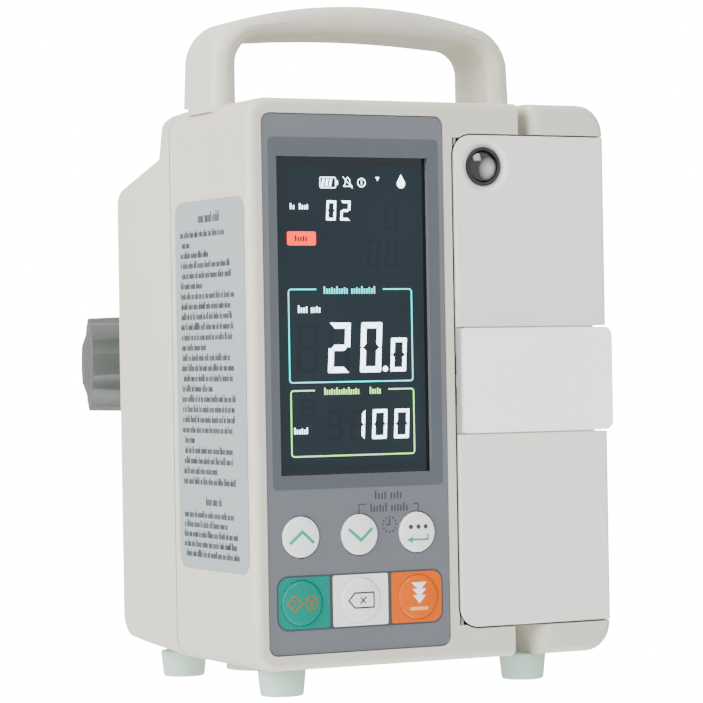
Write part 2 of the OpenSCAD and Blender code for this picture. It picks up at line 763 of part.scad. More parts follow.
module cam_pulley() in_frame() color("gray") pulley(cam_y, cam_pulley_r, 2.55);

module cam_bearings() in_frame() color("lightsteelblue")
    for (z = [56.2, 124.2])
        difference() {
            rod_z(tube_x, cam_y, z, z + 3.6, 6);
            rod_z(tube_x, cam_y, z - 1, z + 5, 2.5 + running);
        }

module stepper_motor() in_frame() color("dimgray")
    difference() {
        union() {
            block([tube_x - 14, tube_x + 14], [motor_y - 14, motor_y + 14], [94, 98]);
            block([tube_x - 13.4, tube_x + 13.4], [motor_y - 13.4, motor_y + 13.4], [97, 121]);
            block([tube_x - 14, tube_x + 14], [motor_y - 14, motor_y + 14], [120, 124]);
        }
        rod_z(tube_x, motor_y, 100, 125, 3);
    }

module motor_pulley() in_frame() color("gray")
    union() {
        rod_z(tube_x, motor_y, 102, 141, 2.5);
        pulley(motor_y, motor_pulley_r, 2.4);
    }

// Outline round both pulleys, at the given distance from their grooves
module belt_loop(gap)
    hull() {
        translate([tube_x, cam_y]) circle(r = cam_pulley_r + gap);
        translate([tube_x, motor_y]) circle(r = motor_pulley_r + gap);
    }

module drive_belt() in_frame() color([0.1, 0.1, 0.1])
    translate([0, 0, pulley_z + 1.4]) linear_extrude(5.2)
        difference() {
            belt_loop(belt_gap + belt_t);
            belt_loop(belt_gap);
        }

module bubble_sensor() in_frame() color([0.15, 0.15, 0.17])
    difference() {
        block([90, 104], [base_front, 34], [134, 148]);
        tube_groove();
    }

module pressure_sensor() in_frame() color("silver")
    union() {
        rod_y(tube_x, tube_floor + 0.2, 36, sensor_z, 3.5);
        rod_y(tube_x, base_back, base_back + 2, sensor_z, 5.3);
    }

// ---- Pole clamp ----

// Clamp coordinates: origin on the pole, x towards the knob, y towards the mouth
module at_pole() in_frame() translate([pole_x, pole_y, clamp_z]) rotate([0, 0, 180 - clamp_turn])
    mirror([0, 1, 0]) children();

// A cylinder or cone towards the knob
module rod_out(x0, x1, r, r_end = undef)
    translate([x0, 0, 0]) rotate([0, 90, 0])
        cylinder(h = x1 - x0, r1 = r, r2 = is_undef(r_end) ? r : r_end);

module clamp_bracket() color([0.3, 0.31, 0.32])
    difference() {
        at_pole() difference() {
            translate([0, 0, -clamp_h / 2]) linear_extrude(clamp_h)
                polygon(concat([[-22, -45], [clamp_reach, -45]],
                               arc([clamp_reach - 4, 5], 4, 0, 90),
                               [[30, 9], [30, -pole_r], [0, -pole_r], [0, 0],
                                pole_r * [cos(140), sin(140)]],
                               arc([-19, 6], 3, 90, 180)));
            translate([0, 0, -clamp_h / 2 - 1]) cylinder(h = clamp_h + 2, r = pole_r);
            rod_out(29, clamp_reach + 1, 5 + running);
        }
        in_frame() block([-50, 200], [0, case_d], [0, 200]);
        in_frame() for (x = [pole_x - 14, pole_x + 12], z = [clamp_z - 11, clamp_z + 11])
            rod_y(x, case_d - 1, case_d + 6, z, 2.5 + running);
    }

module clamp_bolts() in_frame() color("silver")
    for (x = [pole_x - 14, pole_x + 12], z = [clamp_z - 11, clamp_z + 11]) {
        rod_y(x, case_d - wall, case_d + 5, z, 2.5);
        rod_y(x, case_d - wall - 3, case_d - wall, z, 4.2);
    }

module clamp_screw() color("silver")
    at_pole() rod_out(pole_r + 3.1, knob_base + 8, 5);

// Knob with shallow grip lobes, a slight taper and a crowned end
module clamp_knob() color([0.45, 0.46, 0.44])
    at_pole() difference() {
        union() {
            rod_out(knob_base, knob_end, knob_r + 0.6, knob_r);
            rod_out(knob_end - 1, knob_end + knob_dome, knob_r - 1, knob_r - 9);
        }
        for (i = [0 : knob_lobes - 1])
            rotate([(i + 0.5) * 360 / knob_lobes, 0, 0]) translate([0, 0, knob_r + 6])
                rod_out(knob_base - 1, knob_end + knob_dome + 1, 6.6);
        rod_out(knob_base - 1, knob_base + 8, 5);
    }

module clamp_pad() color([0.2, 0.2, 0.21])
    at_pole() difference() {
        rod_out(pole_r + 0.1, pole_r + 5, 9);
        rod_out(pole_r + 3, pole_r + 6, 5 + running);
    }

front_case();
rear_case();
handle_back();
case_screws();
foot_front_left();
foot_front_right();
foot_rear_left();
foot_rear_right();
side_label();
bezel_panel();
display_window();
lcd_module();
display_board();
key_mat();
key_up();
key_down();
key_set();
key_start_stop();
key_clear();
key_purge();
main_board();
power_supply();
battery_pack();
battery_cover();
speaker();
mains_inlet();
power_switch();
door_shell();
door_liner();
platen();
platen_springs();
door_hinge_pins();
latch_lever();
lever_pin();
latch_slide();
striker();
lamp_ring();
lamp_lens();
lamp_board();
pump_base();
mech_frame();
finger_1();
finger_2();
finger_3();
finger_4();
finger_5();
finger_6();
camshaft();
cam_pulley();
cam_bearings();
stepper_motor();
motor_pulley();
drive_belt();
bubble_sensor();
pressure_sensor();
clamp_bracket();
clamp_screw();
clamp_knob();
clamp_pad();
clamp_bolts();
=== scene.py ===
# Looks of the infusion pump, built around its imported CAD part.
# Shapes are drawn in case coordinates, in millimetres: x from the left side of the case, y from its
# front face towards the back, z up from the floor. TO_FRAME takes them to the frame of the CAD part.
import json
import math
import random

import bmesh
import bpy
from mathutils import Matrix, Vector


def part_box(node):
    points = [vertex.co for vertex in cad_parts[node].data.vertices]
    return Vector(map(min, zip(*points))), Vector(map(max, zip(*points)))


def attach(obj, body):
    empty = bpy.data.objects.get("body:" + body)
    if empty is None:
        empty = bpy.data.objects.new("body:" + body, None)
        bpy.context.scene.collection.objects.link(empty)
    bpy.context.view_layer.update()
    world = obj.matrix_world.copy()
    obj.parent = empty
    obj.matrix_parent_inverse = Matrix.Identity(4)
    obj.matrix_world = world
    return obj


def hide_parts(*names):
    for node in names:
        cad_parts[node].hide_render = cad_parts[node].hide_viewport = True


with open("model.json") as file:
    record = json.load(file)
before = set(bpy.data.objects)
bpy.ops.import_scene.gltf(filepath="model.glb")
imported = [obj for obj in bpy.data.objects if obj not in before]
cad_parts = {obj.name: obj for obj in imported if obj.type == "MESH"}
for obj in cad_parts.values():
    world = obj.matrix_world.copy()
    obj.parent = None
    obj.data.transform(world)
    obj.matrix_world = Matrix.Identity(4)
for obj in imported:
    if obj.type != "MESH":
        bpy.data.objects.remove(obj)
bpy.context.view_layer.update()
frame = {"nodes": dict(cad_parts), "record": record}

MM = 0.001
NODES = frame["nodes"]
RECORD = frame["record"]
BODY_OF = {node: body for body, members in RECORD["behaviour"]["bodies"].items() for node in members}
SLOT_OF = {part["node"]: part["material_slot"] for part in RECORD["subparts"]}
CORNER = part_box("front_case")[0]
TO_FRAME = Matrix.Translation((CORNER.x, CORNER.y, 0)) @ Matrix.Scale(MM, 4)


def span(node):
    """The limits of a CAD node in case coordinates: (x0, x1), (y0, y1), (z0, z1)."""
    low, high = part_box(node)
    origin = (CORNER.x, CORNER.y, 0)
    return [((low[i] - origin[i]) / MM, (high[i] - origin[i]) / MM) for i in range(3)]


# ---- Outlines: lists of points, anticlockwise ----


def arc(centre, r, start, end, steps=8):
    """Points on an arc, between two angles in degrees."""
    turns = [math.radians(start + (end - start) * i / steps) for i in range(steps + 1)]
    return [(centre[0] + r * math.cos(t), centre[1] + r * math.sin(t)) for t in turns]


def rounded(u0, u1, v0, v1, radii, steps=8):
    """A rectangle with corner radii: one number, or [bottom left, bottom right, top right, top left]."""
    a, b, c, d = radii if isinstance(radii, list) else [radii] * 4
    corners = [(u0 + a, v0 + a, a, 180), (u1 - b, v0 + b, b, 270),
               (u1 - c, v1 - c, c, 0), (u0 + d, v1 - d, d, 90)]
    return [p for u, v, r, turn in corners for p in arc((u, v), r, turn, turn + 90, steps)]


def circle(centre, r, count=36):
    """A circle, which starts at the same corner as rounded() does."""
    return arc(centre, r, 180, 180 + 360 * (count - 1) / count, count - 1)


def inward(here, there):
    """The unit vector to the left of the way from one point to another."""
    along = Vector(there) - Vector(here)
    return Vector((-along.y, along.x)).normalized()


def inset(outline, distance):
    """The outline drawn in by a distance, or out where that is negative."""
    made = []
    for i, here in enumerate(outline):
        a = inward(outline[i - 1], here)
        b = inward(here, outline[(i + 1) % len(outline)])
        moved = Vector(here) + (a + b) * (distance / max(1 + a.dot(b), 0.2))
        made.append((moved.x, moved.y))
    return made


def between(outer, inner):
    """The four-sided faces between two outlines with the same number of points."""
    count = len(outer)
    return [[outer[i], outer[(i + 1) % count], inner[(i + 1) % count], inner[i]] for i in range(count)]


def stroke(points, width, closed=False):
    """A line of a given width as a chain of four-sided faces."""
    points = [Vector(p) for p in points]
    last = len(points) - 1
    sides = []
    for i, here in enumerate(points):
        before = points[i - 1] if closed or i > 0 else None
        after = points[(i + 1) % len(points)] if closed or i < last else None
        a = inward(before or here, here if before else after)
        b = inward(here if after else before, after or here)
        shift = (a + b) * (width / 2 / max(1 + a.dot(b), 0.3))
        sides.append(((here + shift).to_tuple(), (here - shift).to_tuple()))
    pairs = [(i, (i + 1) % len(points)) for i in range(len(points) if closed else last)]
    return [[sides[i][0], sides[i][1], sides[j][1], sides[j][0]] for i, j in pairs]


TICK_HEIGHTS = (1.0, 0.7, 0.7, 0.85, 0.7)
TICK_SHARE = 0.55


def ticks(u0, u1, v, height, words, pitch=0.85):
    """Words of small upright ticks of uneven height, which fill a width and spell nothing."""
    wide = (u1 - u0 - pitch * (words - 1)) / words
    shapes = []
    for word in range(words):
        start = u0 + word * (wide + pitch)
        count = max(round(wide / pitch), 2)
        for i in range(count):
            u, u_end = start + i * wide / count, start + i * wide / count + pitch * TICK_SHARE
            top = v + height * TICK_HEIGHTS[(i + word) % len(TICK_HEIGHTS)]
            shapes.append([(u, v), (u_end, v), (u_end, top), (u, top)])
    return shapes


def moved(shapes, du, dv, scale=1):
    """Shapes scaled about the origin, then shifted."""
    return [[(u * scale + du, v * scale + dv) for u, v in shape] for shape in shapes]


# ---- Solids ----

LAY = {"x": lambda u, v, s: (s, u, v), "y": lambda u, v, s: (u, s, v), "z": lambda u, v, s: (u, v, s)}
EDGE_STEPS = 5
WELD = 0.002
FLAT_ANGLE = 0.4


def build(name, points, faces):
    """An object from points in case coordinates, its faces turned outward."""
    mesh = bpy.data.meshes.new(name)
    mesh.from_pydata([TO_FRAME @ Vector(p) for p in points], [], faces)
    obj = bpy.data.objects.new(name, mesh)
    bpy.context.scene.collection.objects.link(obj)
    edit = bmesh.new()
    edit.from_mesh(mesh)
    bmesh.ops.recalc_face_normals(edit, faces=edit.faces)
    edit.to_mesh(mesh)
    edit.free()
    return obj


def loft(name, rings, axis="y"):
    """A closed solid through rings, each one a place along the axis and an outline."""
    count = len(rings[0][1])
    points = [LAY[axis](u, v, s) for s, outline in rings for u, v in outline]
    faces = [tuple(range(count)), tuple(range(len(points) - count, len(points)))]
    for start in range(0, len(points) - count, count):
        for i in range(count):
            j = (i + 1) % count
            faces.append((start + i, start + j, start + count + j, start + count + i))
    return build(name, points, faces)


def rounded_edge(r):
    """Steps in and back from a face to where a rounded edge ends."""
    if not r:
        return [(0, 0)]
    turns = [math.radians(90 * i / EDGE_STEPS) for i in range(EDGE_STEPS + 1)]
    return [(r * (1 - math.cos(t)), r * (1 - math.sin(t))) for t in turns]


def prism(name, outline, s0, s1, near=0, far=0, axis="y", grow=0.0):
    """An outline made thick from s0 to s1, its edges rounded by near at s0 and far at s1."""
    rings = [(s0 - grow + depth, inset(outline, back - grow)) for depth, back in rounded_edge(near)]
    rings += [(s1 + grow - depth, inset(outline, back - grow)) for depth, back in reversed(rounded_edge(far))]
    return loft(name, rings, axis)


def lathe(name, profile, centre, axis="y", count=64):
    """A turned solid from (radius, place) pairs along an axis through centre."""
    return loft(name, [(s, circle(centre, r, count)) for r, s in profile], axis)


def settle(obj):
    """Makes what the modifiers show the object's own mesh."""
    graph = bpy.context.evaluated_depsgraph_get()
    mesh = bpy.data.meshes.new_from_object(obj.evaluated_get(graph))
    obj.modifiers.clear()
    obj.data = mesh


def combine(obj, tool, operation):
    """Joins a tool to an object, cuts it out, or keeps what both share; the tool is used up."""
    modifier = obj.modifiers.new("combine", "BOOLEAN")
    modifier.operation = operation
    modifier.solver = "MANIFOLD"
    modifier.object = tool
    settle(obj)
    bpy.data.objects.remove(tool)
    return obj


def cad_copy(node, name):
    """A new object with the shape of a CAD node, welded along its edges."""
    source = NODES[node].data
    mesh = bpy.data.meshes.new(name)
    mesh.from_pydata([v.co for v in source.vertices], [], [list(p.vertices) for p in source.polygons])
    obj = bpy.data.objects.new(name, mesh)
    bpy.context.scene.collection.objects.link(obj)
    edit = bmesh.new()
    edit.from_mesh(mesh)
    bmesh.ops.remove_doubles(edit, verts=edit.verts, dist=WELD * MM)
    edit.to_mesh(mesh)
    edit.free()
    return obj


def soften(obj, width, sharpest=32, segments=2):
    """Rounds the sharp edges by a width in millimetres and shades the rest smooth."""
    edit = bmesh.new()
    edit.from_mesh(obj.data)
    bmesh.ops.remove_doubles(edit, verts=edit.verts, dist=WELD * MM)
    flat = math.radians(FLAT_ANGLE)
    bmesh.ops.dissolve_limit(edit, angle_limit=flat, verts=edit.verts, edges=edit.edges)
    edit.to_mesh(obj.data)
    edit.free()
    if width:
        bevel = obj.modifiers.new("bevel", "BEVEL")
        bevel.width = width * MM
        bevel.segments = segments
        bevel.limit_method = "ANGLE"
        bevel.angle_limit = math.radians(sharpest)
        settle(obj)
    obj.data.shade_smooth()
    obj.data.set_sharp_from_angle(angle=math.radians(sharpest))
    obj.modifiers.new("even_shading", "WEIGHTED_NORMAL").keep_sharp = True
    return obj


def dress(obj, finish, body, stands_for=()):
    """Gives a piece its finish, the body that it rides on and the CAD nodes that it stands for."""
    obj.data.materials.clear()
    obj.data.materials.append(finish)
    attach(obj, body)
    if stands_for:
        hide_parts(*stands_for)
    return obj


def refined(node, obj, width, **edges):
    """A piece that stands for one CAD node, softened and in that node's finish."""
    soften(obj, width, **edges)
    return dress(obj, FINISH[SLOT_OF[node]], BODY_OF[node], [node])


def decal(name, shapes, surface, finish, body, axis="y", grid=0.0, lift=0.03, sunk=0.03):
    """Thin print on a surface. surface(u, v) is where the surface lies along the axis."""
    edit = bmesh.new()
    for shape in shapes:
        edit.faces.new([edit.verts.new((u, v, 0)) for u, v in shape])
    bmesh.ops.remove_doubles(edit, verts=edit.verts, dist=0.001)
    if grid:
        for side in (0, 1):
            low = min(v.co[side] for v in edit.verts)
            high = max(v.co[side] for v in edit.verts)
            for i in range(1, int((high - low) / grid) + 1):
                point = [0, 0, 0]
                point[side] = low + i * grid
                normal = [1 - side, side, 0]
                everything = edit.verts[:] + edit.edges[:] + edit.faces[:]
                bmesh.ops.bisect_plane(edit, geom=everything, plane_co=point, plane_no=normal, dist=1e-4)
    edit.verts.index_update()
    flat = [(v.co.x, v.co.y) for v in edit.verts]
    fronts = [[v.index for v in face.verts] for face in edit.faces]
    rims = [[v.index for v in edge.verts] for edge in edit.edges if len(edge.link_faces) == 1]
    edit.free()
    count = len(flat)
    points = [LAY[axis](u, v, surface(u, v) - lift) for u, v in flat]
    points += [LAY[axis](u, v, surface(u, v) + sunk) for u, v in flat]
    faces = fronts + [[i + count for i in reversed(face)] for face in fronts]
    faces += [[a, b, b + count, a + count] for a, b in rims]
    return dress(build(name, points, faces), finish, body)


# ---- Finishes ----


def tone(code):
    """A linear colour from a hex code."""
    parts = [int(code[i:i + 2], 16) / 255 for i in (0, 2, 4)]
    return tuple(c / 12.92 if c < 0.04045 else ((c + 0.055) / 1.055) ** 2.4 for c in parts) + (1,)


def shaded(colour, share):
    """A colour made lighter or darker by a share."""
    return tuple(min(c * (1 + share), 1) for c in colour[:3]) + (1,)


class Finish:
    """A procedural material: a Principled shader with noise in its colour, roughness and height."""

    def __init__(self, name, **sockets):
        self.made = bpy.data.materials.new(name)
        self.made.use_nodes = True
        self.tree = self.made.node_tree
        self.shader = self.tree.nodes["Principled BSDF"]
        for socket, value in sockets.items():
            self.shader.inputs[socket.replace("_", " ")].default_value = value
        self.place = self.node("ShaderNodeTexCoord").outputs["Object"]

    def node(self, kind, **values):
        made = self.tree.nodes.new(kind)
        for key, value in values.items():
            if key in made.inputs:
                made.inputs[key].default_value = value
            else:
                setattr(made, key, value)
        return made

    def link(self, source, target):
        self.tree.links.new(source, target)

    def noise(self, size, detail=2.0, stretch=None):
        """Noise with features of a size in millimetres, stretched along the axes if asked."""
        made = self.node("ShaderNodeTexNoise", Scale=1 / (size * MM), Detail=detail)
        source = self.place
        if stretch:
            mapping = self.node("ShaderNodeMapping")
            mapping.inputs["Scale"].default_value = [1 / s for s in stretch]
            self.link(source, mapping.inputs["Vector"])
            source = mapping.outputs["Vector"]
        self.link(source, made.inputs["Vector"])
        return made.outputs["Fac"]

    def cells(self, size):
        """Small cells, each with a random grey."""
        made = self.node("ShaderNodeTexVoronoi", Scale=1 / (size * MM))
        self.link(self.place, made.inputs["Vector"])
        return made.outputs["Color"]

    def mix(self, factor, a, b):
        """A colour between a and b, each a colour or another node's output."""
        made = self.node("ShaderNodeMix", data_type="RGBA")
        factor_in, a_in, b_in = made.inputs[0], made.inputs[6], made.inputs[7]
        self.link(factor, factor_in)
        for value, socket in ((a, a_in), (b, b_in)):
            if isinstance(value, tuple):
                socket.default_value = value
            else:
                self.link(value, socket)
        return made.outputs[2]

    def spread(self, factor, low, high, start=0.3, end=0.7):
        """A number between low and high as a factor goes from start to end."""
        made = self.node("ShaderNodeMapRange")
        for key, value in zip(("From Min", "From Max", "To Min", "To Max"), (start, end, low, high)):
            made.inputs[key].default_value = value
        self.link(factor, made.inputs["Value"])
        return made.outputs["Result"]

    def colour(self, source):
        self.link(source, self.shader.inputs["Base Color"])

    def rough(self, source):
        self.link(source, self.shader.inputs["Roughness"])

    def bump(self, height, depth, normal=None):
        """Height in the surface, at most a depth in millimetres."""
        made = self.node("ShaderNodeBump", Distance=depth * MM)
        self.link(height, made.inputs["Height"])
        if normal:
            self.link(normal, made.inputs["Normal"])
        self.link(made.outputs["Normal"], self.shader.inputs["Normal"])
        return made.outputs["Normal"]


def moulded(name, code, rough=(0.42, 0.55), grain=0.45, depth=0.012, blotch=0.025, **sockets):
    """Moulded plastic or rubber: a fine grain, faint blotches and uneven gloss."""
    finish = Finish(name, **sockets)
    base = tone(code)
    cloud = finish.spread(finish.noise(38, 3), 0, 1)
    speck = finish.spread(finish.noise(grain * 1.6, 2), 0, 1)
    broad = finish.mix(cloud, shaded(base, -blotch), shaded(base, blotch))
    fine = finish.mix(cloud, shaded(base, -blotch * 1.8), shaded(base, blotch * 0.4))
    finish.colour(finish.mix(speck, fine, broad))
    finish.rough(finish.spread(finish.noise(grain * 3, 3), *rough))
    slow = finish.bump(finish.noise(26, 2), depth * 3)
    finish.bump(finish.noise(grain, 3), depth, slow)
    return finish.made


def printed(name, code, rough=0.5):
    """Printing ink: even colour with a faint unevenness in tone and gloss."""
    finish = Finish(name)
    base = tone(code)
    worn = finish.spread(finish.noise(0.7, 3), 0, 1)
    finish.colour(finish.mix(worn, shaded(base, -0.07), shaded(base, 0.07)))
    finish.rough(finish.spread(finish.noise(1.5, 2), rough - 0.05, rough + 0.05))
    return finish.made


def glowing(name, code, strength):
    """A lit segment of the display, slightly uneven."""
    finish = Finish(name, Roughness=0.3, Emission_Strength=strength)
    base = tone(code)
    uneven = finish.spread(finish.noise(5, 2), 0, 1)
    shade = finish.mix(uneven, shaded(base, -0.1), base)
    finish.link(shade, finish.shader.inputs["Emission Color"])
    finish.colour(shade)
    return finish.made


def metal(name, code, rough=0.3, stretch=(1, 1, 14), grain=0.25, depth=0.003):
    """Bare metal with fine marks along one way."""
    finish = Finish(name, Metallic=1.0)
    base = tone(code)
    marks = finish.noise(grain, 3, stretch)
    finish.colour(finish.mix(finish.spread(marks, 0, 1), shaded(base, -0.12), shaded(base, 0.06)))
    finish.rough(finish.spread(finish.noise(grain * 4, 3, stretch), rough - 0.08, rough + 0.1))
    finish.bump(marks, depth)
    return finish.made


FLAKE = 0.32


def flaked_with_painted_glow(name, code):
    """Silver-white paint with metal flakes under a clear coat, and a painted glow in the flake colour."""
    # Painted glow: the paint emits light so that the lever reads brighter; it is no lamp.
    finish = Finish(name, Metallic=0.08, Coat_Weight=0.35, Coat_Roughness=0.25, Emission_Strength=0.6)
    base = tone(code)
    mottle = finish.spread(finish.cells(FLAKE), 0, 1, 0.1, 0.9)
    flakes = finish.mix(mottle, shaded(base, -0.3), shaded(base, 0.14))
    finish.colour(finish.mix(finish.spread(finish.noise(30, 2), 0.1, 0.4), flakes, base))
    # The flake colour is also the colour of the painted glow.
    finish.link(flakes, finish.shader.inputs["Emission Color"])
    finish.rough(finish.spread(finish.cells(FLAKE), 0.3, 0.55, 0.1, 0.9))
    finish.bump(finish.cells(FLAKE), 0.004)
    return finish.made


def glass(name, code, rough=0.06, **sockets):
    """Dark glossy plastic with faint dust and unevenness."""
    finish = Finish(name, Coat_Weight=0.12, Coat_Roughness=0.04, **sockets)
    base = tone(code)
    cloud = finish.spread(finish.noise(45, 2), 0, 1)
    finish.colour(finish.mix(cloud, shaded(base, -0.15), shaded(base, 0.2)))
    finish.rough(finish.spread(finish.noise(0.9, 4), rough, rough * 2.2, 0.4, 0.75))
    finish.bump(finish.noise(60, 1), 0.01)
    return finish.made


def domed_lens(name, dark, light):
    """A smoked lens with a painted reflection: pale low on the right, dark round its rim."""
    finish = Finish(name, Coat_Weight=0.8, Coat_Roughness=0.03)
    (x0, x1), (front, _), (z0, z1) = span("lamp_lens")
    centre = TO_FRAME @ Vector(((x0 + x1) / 2 + 1.7, front + 1, (z0 + z1) / 2 - 0.8))
    apart = finish.node("ShaderNodeVectorMath", operation="DISTANCE")
    finish.link(finish.place, apart.inputs[0])
    apart.inputs[1].default_value = centre
    # Painted reflection: pale round a point low on the right of the lens, fading to dark towards the rim.
    painted_reflection = finish.spread(apart.outputs["Value"], 0, 1, 0.2 * MM, 3.9 * MM)
    finish.colour(finish.mix(painted_reflection, tone(light), tone(dark)))
    finish.rough(finish.spread(finish.noise(1.2, 3), 0.05, 0.14))
    return finish.made


FINISH = {
    "case_plastic": moulded("case_plastic", "cac6b7"),
    "door_plastic": moulded("door_plastic", "e3e7de"),
    "lever_plastic": flaked_with_painted_glow("lever_paint_painted_glow", "f7f9fa"),
    "bezel_film": moulded("bezel_film", "606369", (0.36, 0.46), 0.3, 0.006, 0.02),
    "window": glass("display_window", "111f27", Specular_IOR_Level=0.3),
    "display": glass("display_module", "20262a"),
    "board": moulded("circuit_board", "1d6b3c", (0.3, 0.4), 0.8, 0.02, 0.1),
    "silicone": moulded("silicone_mat", "cfd0cb", (0.5, 0.6)),
    "key_white": moulded("white_key", "e9ecea", (0.3, 0.4), 0.3, 0.004, 0.015),
    "key_teal": moulded("teal_key", "007a6c", (0.22, 0.32), 0.3, 0.004, 0.03, Specular_IOR_Level=0.15),
    "key_orange": moulded("orange_key", "d45c00", (0.22, 0.32), 0.3, 0.004, 0.03, Specular_IOR_Level=0.15),
    "label_film": moulded("label_film", "949c9f", (0.42, 0.5), 0.35, 0.005, 0.02),
    "foot_rubber": moulded("foot_rubber", "adc6b8", (0.55, 0.7), 0.5, 0.02, 0.04),
    "steel": metal("steel", "b9b9bb", 0.28),
    "aluminium": metal("aluminium", "c3c5c8", 0.38, (14, 1, 1)),
    "mech_plastic": moulded("mechanism_plastic", "9fa4a6", (0.4, 0.5), 0.4, 0.01, 0.03),
    "finger_plastic": moulded("white_acetal", "e2e1da", (0.25, 0.35), 0.5, 0.004, 0.02),
    "dark_plastic": moulded("black_plastic", "1d1d20", (0.35, 0.5), 0.4, 0.012, 0.12),
    "switch_plastic": moulded("rocker_plastic", "1c6a3c", (0.22, 0.32), 0.4, 0.004, 0.05),
    "battery_wrap": moulded("battery_wrap", "2f6ca0", (0.2, 0.3), 1.2, 0.03, 0.06),
    "supply": moulded("supply_board", "9c8a3f", (0.3, 0.5), 0.8, 0.03, 0.15),
    "motor_metal": moulded("motor_paint", "2c2c2f", (0.3, 0.42), 0.4, 0.012, 0.1),
    "belt_rubber": moulded("belt_rubber", "151515", (0.55, 0.7), 0.6, 0.03, 0.15),
    "lamp_lens": domed_lens("smoked_lens_painted_reflection", "1b1615", "c4c1c0"),
    "clamp_metal": moulded("clamp_coat", "42444a", (0.42, 0.58), 0.7, 0.03, 0.08),
    "knob_plastic": moulded("knob_plastic", "4c504d", (0.42, 0.55), 0.5, 0.012, 0.04),
    "pad_rubber": moulded("pad_rubber", "202022", (0.6, 0.75), 0.6, 0.03, 0.12),
}
INK_DARK = printed("dark_ink", "23282b")
INK_BORDER = moulded("border_ink", "484e54", (0.34, 0.44), 0.3, 0.005, 0.02)
INK_FRAME = moulded("frame_ink", "363b40", (0.34, 0.44), 0.3, 0.005, 0.03)
INK_PANEL = printed("panel_ink", "34383c")
INK_ICON = printed("icon_ink", "009a7e")
INK_RUST = printed("rust_ink", "7d5a22")
INK_WHITE = printed("white_ink", "f3f4f2")
INK_PALE = printed("pale_ink", "f0a468")
# Near-black paint that stands in for shade in the gaps of the case.
SHADOW_GAP = printed("painted_gap_shade", "0a0a0b", 0.6)
LIT_WHITE = glowing("lit_white", "d4ecff", 5.0)
LIT_CYAN = glowing("lit_cyan", "2ce8ea", 1.7)
LIT_GREEN = glowing("lit_green", "a4f07c", 1.8)
LIT_CORAL = glowing("lit_coral", "ff2412", 1.7)
UNLIT = glass("unlit_segment", "0f1b22", Specular_IOR_Level=0.3)
LENS_SHINE = glass("lcd_border", "0b0d0f", 0.1)

# ---- Case ----

CASE_X = span("front_case")[0]
CASE_TOP = span("handle_back")[2][0]
CASE_BOTTOM = span("foot_front_left")[2][1]
SEAM, CASE_BACK = span("rear_case")[1]
CASE_OUTLINE = rounded(CASE_X[0], CASE_X[1], CASE_BOTTOM, CASE_TOP, [7, 9, 9, 7])
FRONT_EDGE = 2.8
SEAM_EDGE = 0.6
SIDE_EDGE = 1.6
# How far a limit stands outside the CAD solid that it rounds, so that flat faces stay as they are
OVER = 0.02
# How far print may stand out and stay inside the CAD box
PRINT_ROOM = 0.04

HANDLE_W = span("handle_back")[0][1]
HANDLE_TOP = span("handle_back")[2][1]
HANDLE_FRONT = 25.8
HANDLE_SEAM, HANDLE_BACK = span("handle_back")[1]
HANDLE_LEG = 9.6
DOOR_CORNER = 6.9


def handle_outline():
    """Two legs under a low arch. The legs run down into the case."""
    mid, root, leg, corner = HANDLE_W / 2, CASE_TOP - 14, HANDLE_LEG, 8.2
    shoulder, shoulder_x, shoulder_z = 14.4, 15.6, CASE_TOP + 13
    outer_bow, inner_bow = 168, 400
    hole_top = HANDLE_TOP - 9.8
    corner_z = hole_top - corner - 1.6
    outer = arc((HANDLE_W - shoulder_x, shoulder_z), shoulder, 0, 76)
    outer += arc((mid, HANDLE_TOP - outer_bow), outer_bow, 77, 103, 12)
    outer += arc((shoulder_x, shoulder_z), shoulder, 104, 180)
    inner = arc((leg + corner, corner_z), corner, 180, 92)
    inner += arc((mid, hole_top - inner_bow), inner_bow, 94.5, 85.5)
    inner += arc((HANDLE_W - leg - corner, corner_z), corner, 88, 0)
    return [(HANDLE_W, root)] + outer + [(0, root), (leg, root)] + inner + [(HANDLE_W - leg, root)]


def front_shell():
    """The front shell with rounded edges, down to the pads that the feet sit on."""
    limit = prism("limit", CASE_OUTLINE, 0, SEAM, FRONT_EDGE, SEAM_EDGE, grow=OVER)
    handle = prism("handle", handle_outline(), HANDLE_FRONT, HANDLE_SEAM, 4.3, 0.3, grow=OVER)
    pads = prism("pads", rounded(5, 110, 5, CASE_BOTTOM + 3, 0.5), 20, 56)
    combine(limit, handle, "UNION")
    combine(limit, pads, "UNION")
    refined("front_case", combine(cad_copy("front_case", "front_shell"), limit, "INTERSECT"), 0.25)


def handle_rear_half():
    """The rear half of the handle with rounded edges."""
    limit = prism("limit", handle_outline(), HANDLE_SEAM, HANDLE_BACK, 0.3, 2.4, grow=OVER)
    refined("handle_back", combine(cad_copy("handle_back", "handle_rear_half"), limit, "INTERSECT"), 0.25)


def rear_shell():
    """The rear shell, rounded at the seam and along the outline of its side."""
    across = prism("limit", CASE_OUTLINE, SEAM, CASE_BACK, SEAM_EDGE, 0, grow=OVER)
    # The side's outline: flat below, a round edge at the back, and the slope up to the handle
    side = [(SEAM - 4, CASE_BOTTOM), (SEAM, CASE_BOTTOM), (68.4, 10.2)]
    side += arc((CASE_BACK - 8, 20.5), 8, -75, 0)
    side += arc((CASE_BACK - 6, 155.5), 6, 0, 75)
    side += [(68.6, 169.5)]
    side += arc((SEAM + 2, CASE_TOP - 6), 5, 10, 90)
    side += [(SEAM - 4, CASE_TOP - 1)]
    along = prism("limit", side, CASE_X[0], CASE_X[1], SIDE_EDGE, SIDE_EDGE, "x", OVER)
    shell = combine(cad_copy("rear_case", "rear_shell"), across, "INTERSECT")
    refined("rear_case", combine(shell, along, "INTERSECT"), 0.25)


